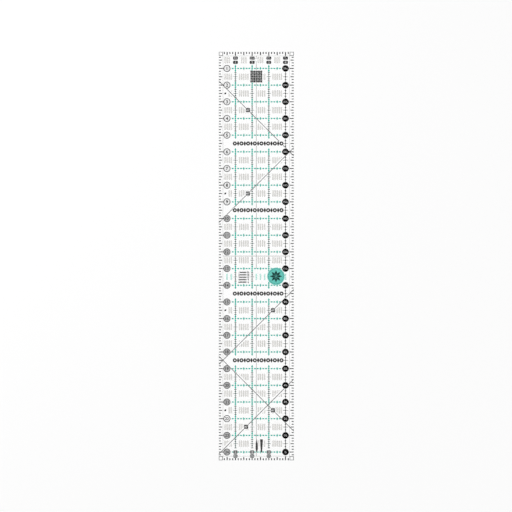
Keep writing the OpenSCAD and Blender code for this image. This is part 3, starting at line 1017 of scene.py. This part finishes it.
@dataclass
class TypeCase:
    """Models each number once, as a closed slab of letter shapes, and sets copies of it."""

    weight: float = 0.008
    size: float = 10.0
    spacing: float = 0.96
    resolution: int = 4
    weld: float = 0.0005
    cut_reach: float = 0.5
    masters: dict[str, Piece] = field(default_factory=dict)

    def master(self, text: str) -> Piece:
        """Gives the slab of a number: centred, one unit high and one unit thick.

        Args:
            text: What it says.

        Returns:
            The slab, which stays out of the scene.
        """
        if text in self.masters:
            return self.masters[text]
        deselect()
        bpy.ops.object.text_add(location=(0, 0, 0))
        obj = bpy.context.object
        obj.name = "type_" + "_".join(f"{ord(letter):x}" for letter in text)
        obj.data.body = text
        obj.data.size = self.size
        obj.data.space_character = self.spacing
        obj.data.offset = self.weight * self.size
        obj.data.resolution_u = self.resolution
        obj.data.extrude = 0.5
        bpy.ops.object.convert(target="MESH")
        obj = bpy.context.object
        with editing(obj):
            bpy.ops.mesh.select_all(action="SELECT")
            bpy.ops.mesh.remove_doubles(threshold=self.weld)
            bpy.ops.mesh.normals_make_consistent(inside=False)
        corners = [v.co for v in obj.data.vertices]
        low = Vector([min(c[i] for c in corners) for i in range(3)])
        high = Vector([max(c[i] for c in corners) for i in range(3)])
        size = 1.0 / (high.y - low.y)
        obj.data.transform(
            Matrix.Diagonal((size, size, 1.0 / (high.z - low.z), 1.0))
            @ Matrix.Translation(-(low + high) / 2)
        )
        for home in list(obj.users_collection):
            home.objects.unlink(obj)
        self.masters[text] = obj
        return obj

    def compose(self, name: str, numbers: Sequence[Number], low: float, high: float) -> Piece:
        """Sets numbers side by side as one piece.

        Args:
            name: Name of the piece.
            numbers: The numbers.
            low: Height of its foot.
            high: Height of its top.

        Returns:
            The piece, in millimetres.
        """
        parts = []
        for number in numbers:
            slab = self.master(number.text)
            half_width = max(v.co.x for v in slab.data.vertices)
            size = min(number.height, number.width / (2 * half_width))
            if number.reach is not None:
                size = min(size, number.reach / math.hypot(half_width, 0.5))
            place = Vector((number.place.x, number.place.y, (low + high) / 2))
            moved = Matrix.Translation(place) @ Matrix.Diagonal((size, size, high - low, 1.0))
            parts.append(copy_to(slab, moved))
        return join(name, parts)

    def cut(self, plate: Piece, numbers: Sequence[Number]) -> None:
        """Cuts numbers right through a plate.

        Args:
            plate: The plate, in millimetres.
            numbers: The numbers.
        """
        for number in numbers:
            cutter = self.compose("cutter", [number], -self.cut_reach, self.cut_reach)
            apply_modifier(plate, "BOOLEAN", object=cutter, operation="DIFFERENCE", solver="EXACT")
            discard(cutter)

    def clear(self) -> None:
        """Throws the masters away."""
        for obj in self.masters.values():
            discard(obj)
        self.masters.clear()


def half_text(whole: int) -> str:
    """Writes a whole number and a half, or a half alone."""
    return f"{whole}½" if whole else "½"


@dataclass
class WholeInchNumbers:
    """The numbers in the rings down the left, and the tinted grounds they are cut out of."""

    face: Face
    column: float = 0.49
    ground_diameter: float = 8.5
    rim_break: float = 0.01
    width: float = 8.0
    height: float = 5.0
    clear: float = 0.55

    def numbers(self, first: int, last: int) -> list[Number]:
        """Gives the numbers of a run of rings."""
        reach = self.ground_diameter / 2 - self.clear
        return [
            Number(str(row), self.face.at(self.column, row), self.width, self.height, reach)
            for row in range(first, last + 1)
        ]

    def ground(self, name: str, types: TypeCase, first: int, last: int) -> Piece:
        """Models the grounds of a run of rings.

        Args:
            name: Name of the piece.
            types: The numbers' type.
            first: First ring.
            last: Last ring.

        Returns:
            The grounds with the numbers cut out.
        """
        face = self.face
        radius = self.ground_diameter / 2
        plain = disc("ring_ground", radius, face.print_low, face.print_high, ROUND_SIDES)
        bevel(plain, self.rim_break, 1)
        numbers = self.numbers(first, last)
        grounds = spread_copies(name, plain, [number.place for number in numbers])
        types.cut(grounds, numbers)
        return grounds

    def build(self, types: TypeCase, paints: Paintbox) -> None:
        """Builds the grounds and the numbers.

        Args:
            types: The type of its numbers.
            paints: The finishes.
        """
        face = self.face
        one = self.ground("white_ring_grounds", types, 1, LAST_ONE_DIGIT)
        finish_piece(one, paints[Ink.WHITE], ["one_digit_backing"])
        two = self.ground("grey_ring_grounds", types, LAST_ONE_DIGIT + 1, face.rows)
        finish_piece(two, paints[Ink.BACKING], ["two_digit_backing"])
        numbers = self.numbers(1, face.rows)
        inked = types.compose("ring_numbers", numbers, face.print_low, face.print_high)
        finish_piece(inked, paints[Ink.CHARCOAL], ["whole_inch_numerals"])


@dataclass
class HalfInchDiscs:
    """The black discs down the right, pointed at both sides, with their numbers cut out."""

    face: Face
    diameter: float = 10.0
    point: float = 0.7
    shoulder: float = 0.3
    clear: float = 1.6
    width: float = 8.6
    height: float = 3.2

    def numbers(self) -> list[Number]:
        """Gives the number of each disc."""
        face = self.face
        room = (self.width, self.height, self.diameter / 2 - self.clear)
        return [
            Number(half_text(face.rows - row), face.at(face.columns, row), *room)
            for row in range(1, face.rows + 1)
        ]

    def pointed_disc(self) -> Piece:
        """Models one disc with its two points, pulled out of the outermost points of its rim."""
        face = self.face
        radius = self.diameter / 2
        plain = disc("half_inch_disc", radius, face.print_low, face.print_high, ROUND_SIDES)
        for reach, pull in ((0.999, self.point), (0.985, self.point * self.shoulder)):
            for side in (-1, 1):
                with editing(plain) as mesh:
                    bpy.context.tool_settings.mesh_select_mode = (True, False, False)
                    for vert in mesh.verts:
                        on_rim = vert.co.xy.length < radius + NEAR
                        vert.select_set(on_rim and side * vert.co.x > reach * radius)
                    mesh.select_flush_mode()
                    bpy.ops.transform.translate(value=(side * pull, 0, 0))
        return plain

    def build(self, types: TypeCase, paints: Paintbox) -> None:
        """Builds the discs and their numbers.

        Args:
            types: The type of its numbers.
            paints: The finishes.
        """
        face = self.face
        numbers = self.numbers()
        spots = [number.place for number in numbers]
        discs = spread_copies("black_discs", self.pointed_disc(), spots)
        types.cut(discs, numbers)
        finish_piece(discs, paints[Ink.BLACK], ["half_inch_discs"])
        inked = types.compose("disc_numbers", numbers, face.print_low, face.print_high)
        finish_piece(inked, paints[Ink.FIGURE], ["half_inch_numerals"])


@dataclass
class LabelPlate:
    """A flat plate with round corners, from which labels are made."""

    width: float
    height: float
    radius: float
    segments: int = 6

    def model(self, low: float, high: float) -> Piece:
        """Models the plate about the origin.

        Args:
            low: Height of its foot.
            high: Height of its top.

        Returns:
            The plate.
        """
        x, y = self.width / 2, self.height / 2
        plate = block("label_plate", Vector((-x, -y, low)), Vector((x, y, high)))
        bevel(plate, self.radius, self.segments, lambda a, b: abs(a.z - b.z) > (high - low) / 2)
        return plate


TOP_PLATE = LabelPlate(width=7.6, height=4.9, radius=1.8)
BOTTOM_PLATE = LabelPlate(width=6.6, height=5.6, radius=1.8)


@dataclass
class EndLabels:
    """The labels at one end of the columns: half inches and whole inches, each on its plate."""

    face: Face
    end: str
    columns: int
    plate: LabelPlate
    half_row: float
    whole_row: float
    ink: Ink
    whole_ink: Ink
    clear: float = 0.6

    def numbers(self, text: Callable[[int], str], row: float) -> list[Number]:
        """Gives one row of numbers.

        Args:
            text: Writes the number of a column.
            row: Inches from the top edge.

        Returns:
            The numbers.
        """
        room = (self.plate.width - 2 * self.clear, self.plate.height - 2 * self.clear)
        return [
            Number(text(column), self.face.at(column, row), *room)
            for column in range(1, self.columns + 1)
        ]

    def build(self, types: TypeCase, paints: Paintbox) -> None:
        """Builds both rows of plates and their numbers.

        Args:
            types: The type of its numbers.
            paints: The finishes.
        """
        face = self.face
        low, high = face.print_low, face.print_high
        halves = self.numbers(lambda column: half_text(face.columns - column), self.half_row)
        wholes = self.numbers(str, self.whole_row)
        for row, numbers, ink in (("half", halves, self.ink), ("whole", wholes, self.whole_ink)):
            name = f"{self.end}_{row}"
            spots = [number.place for number in numbers]
            plates = spread_copies(f"{name}_plates", self.plate.model(low, high), spots)
            types.cut(plates, numbers)
            finish_piece(plates, paints[ink], [f"{name}_labels"])
            figures = types.compose(f"{name}_figures", numbers, low, high)
            finish_piece(figures, paints[Ink.FIGURE], [f"{name}_numerals"])


@dataclass
class AnglePlates:
    """The square labels on the 45 degree lines."""

    face: Face
    plate: LabelPlate = field(default_factory=lambda: LabelPlate(6.3, 6.3, 0.9))
    width: float = 5.3
    height: float = 3.6
    places: tuple[tuple[float, float], ...] = (
        (1.75, 3.5),
        (1.75, 8.5),
        (3.25, 21.5),
        (3.25, 15.5),
        (1.64, 22.485),
    )

    def build(self, types: TypeCase, paints: Paintbox) -> None:
        """Builds the labels.

        Args:
            types: The type of its numbers.
            paints: The finishes.
        """
        face = self.face
        spots = [face.at(*place) for place in self.places]
        plain = self.plate.model(face.print_low, face.print_high)
        plates = spread_copies("angle_plates", plain, spots)
        types.cut(plates, [Number("45°", spot, self.width, self.height) for spot in spots])
        finish_piece(plates, paints[Ink.ANGLE], ["angle_labels"])


@dataclass
class StripTable:
    """The small table of strips: their width in inches, and how many a yard of cloth gives."""

    face: Face
    middle: tuple[float, float] = (1.49, 13.52)
    widths: tuple[int, ...] = (1, 2, 3, 4, 6)
    yard: int = 36
    step: float = 3.7
    across: float = 14.0
    width: float = 6.0
    height: float = 2.9
    patch: float = 1.8
    patch_radius: float = 0.2
    patches: int = 5
    gap: float = 0.25

    def build(self, types: TypeCase, paints: Paintbox) -> None:
        """Builds the numbers and the patches between them as one piece.

        Args:
            types: The type of its numbers.
            paints: The finishes.
        """
        low, high = self.face.print_low, self.face.print_high
        middle = self.face.at(*self.middle)
        numbers, spots = [], []
        for i, width in enumerate(self.widths):
            y = middle.y + ((len(self.widths) - 1) / 2 - i) * self.step
            for side, value in ((-1, width), (1, self.yard // width)):
                place = Vector((middle.x + side * self.across / 2, y, 0))
                numbers.append(Number(str(value), place, self.width, self.height))
            for n in range(self.patches):
                along = (n - (self.patches - 1) / 2) * (self.patch + self.gap)
                spots.append(Vector((middle.x + along - self.height / 4, y, 0)))
        plain = LabelPlate(self.patch, self.patch, self.patch_radius).model(low, high)
        patches = spread_copies("strip_patches", plain, spots)
        figures = types.compose("strip_figures", numbers, low, high)
        table = join("strip_table_print", [figures, patches])
        finish_piece(table, paints[Ink.SCALE], ["strip_table"])


# ---------------- the studio


@dataclass
class Studio:
    """Pale table, soft light and a camera straight above the ruler, in metres and degrees."""

    span: float = 0.780
    lens: float = 135.0
    sensor: float = 36.0
    shift_right: float = -0.00046
    shift_up: float = 0.0001
    farthest: float = 50.0
    table_size: float = 12.0
    table_drop: float = 0.00003
    table_shade: float = 0.8
    table_roughness: float = 0.9
    table_glow: float = 0.19
    glow_through_sheet: float = 0.275
    surround: float = 1.0
    opening_inner: float = 13.0
    opening_outer: float = 20.0
    window_share: float = 0.196
    fill_share: float = 0.084

    def build(self) -> None:
        """Builds the table, the surroundings, the lamps and the camera."""
        self._table()
        self._surroundings()
        self._lamp("window_light", Vector((-1.7, 1.1, 1.9)), 1.2, self.window_share)
        self._lamp("fill_light", Vector((1.9, -0.9, 1.7)), 1.4, self.fill_share)
        self._camera()
        bpy.context.scene.view_settings.view_transform = "Standard"

    def _table(self) -> None:
        """Adds the table top just under the ruler."""
        deselect()
        bpy.ops.mesh.primitive_plane_add(size=self.table_size, location=(0, 0, -self.table_drop))
        table = added("table_top")
        shading = Shading("white_table")
        sockets = shading.surface.inputs
        sockets["Base Color"].default_value = (*grey(self.table_shade), 1)
        sockets["Roughness"].default_value = self.table_roughness
        sockets["Specular IOR Level"].default_value = 0.0
        sockets["Emission Color"].default_value = (1, 1, 1, 1)
        rays = shading.add("ShaderNodeLightPath").outputs
        straight = shading.compute("MULTIPLY", rays["Is Camera Ray"], self.table_glow)
        mirrored = shading.compute("MULTIPLY", rays["Is Glossy Ray"], self.table_glow)
        through = shading.compute("MULTIPLY", rays["Is Transmission Ray"], self.glow_through_sheet)
        seen = shading.compute("MAXIMUM", straight, mirrored)
        glow = shading.compute("MAXIMUM", seen, through)
        shading.link(glow, sockets["Emission Strength"])
        table.data.materials.append(shading.material)
        table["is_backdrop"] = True

    def _surroundings(self) -> None:
        """Sets an even pale surround with a dark opening overhead, where the camera looks in."""
        world = bpy.data.worlds.new("pale_surround")
        bpy.context.scene.world = world
        world.use_nodes = True
        wiring = Wiring(world.node_tree)
        way = wiring.add("ShaderNodeSeparateXYZ")
        wiring.link(wiring.add("ShaderNodeTexCoord").outputs["Generated"], way.inputs[0])
        opening = wiring.add("ShaderNodeMapRange", interpolation_type="SMOOTHSTEP")
        opening.inputs["From Min"].default_value = math.cos(math.radians(self.opening_outer))
        opening.inputs["From Max"].default_value = math.cos(math.radians(self.opening_inner))
        opening.inputs["To Min"].default_value = self.surround
        opening.inputs["To Max"].default_value = 0.0
        wiring.link(way.outputs["Z"], opening.inputs["Value"])
        background = wiring.add("ShaderNodeBackground")
        wiring.link(opening.outputs["Result"], background.inputs["Strength"])
        output = wiring.add("ShaderNodeOutputWorld")
        wiring.link(background.outputs["Background"], output.inputs["Surface"])

    @staticmethod
    def _lamp(name: str, place: Vector, size: float, share: float) -> None:
        """Adds a soft lamp that gives a share of the plain light level at the table's middle.

        Args:
            name: The lamp's name.
            place: Its place.
            size: Its side.
            share: Its share, where 1 lights white paper to white.
        """
        data = bpy.data.lights.new(name, "AREA")
        data.shape = "SQUARE"
        data.size = size
        slant = place.normalized().z
        data.energy = share * math.pi**2 * place.length_squared / slant
        lamp = bpy.data.objects.new(name, data)
        bpy.context.scene.collection.objects.link(lamp)
        lamp.location = place
        lamp.rotation_euler = (-place).to_track_quat("-Z", "Y").to_euler()

    def _camera(self) -> None:
        """Adds the camera straight above the ruler's middle."""
        data = bpy.data.cameras.new("overhead_camera")
        data.lens = self.lens
        data.sensor_width = self.sensor
        camera = bpy.data.objects.new("overhead_camera", data)
        bpy.context.scene.collection.objects.link(camera)
        height = self.span / 2 / (self.sensor / 2 / self.lens)
        camera.location = (self.shift_right, self.shift_up, height)
        data.clip_end = self.farthest
        bpy.context.scene.camera = camera


# ---------------- assembly


def corners() -> list[list[float]]:
    """Gives the whole object's box as plain lists."""
    low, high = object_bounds()
    return [list(low), list(high)]


def main() -> None:
    """Builds the ruler's pieces in order and the studio round it."""
    logging.basicConfig(level=logging.INFO, format="%(name)s: %(message)s")
    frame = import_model()
    face = Face.from_frame()
    paints = Paintbox()
    paints.dress_nodes(frame["nodes"])
    AcrylicSheet(face).build(paints)
    types = TypeCase()
    bold_types = TypeCase(weight=0.028)
    WholeInchNumbers(face).build(bold_types, paints)
    HalfInchDiscs(face).build(types, paints)
    EndLabels(
        face,
        end="top",
        columns=face.columns,
        plate=TOP_PLATE,
        half_row=TOP_LABELS_DOWN / INCH,
        whole_row=(TOP_LABELS_DOWN + TOP_LABEL_STEP) / INCH,
        ink=Ink.LABEL,
        whole_ink=Ink.ANGLE,
    ).build(types, paints)
    EndLabels(
        face,
        end="bottom",
        columns=face.columns - 1,
        plate=BOTTOM_PLATE,
        half_row=face.rows + BOTTOM_LABEL_STEP / INCH,
        whole_row=face.rows,
        ink=Ink.GREY,
        whole_ink=Ink.GREY,
    ).build(types, paints)
    AnglePlates(face).build(types, paints)
    StripTable(face).build(bold_types, paints)
    types.clear()
    bold_types.clear()
    Studio().build()
    LOG.info("all pieces built")


if __name__ == "__main__":
    main()
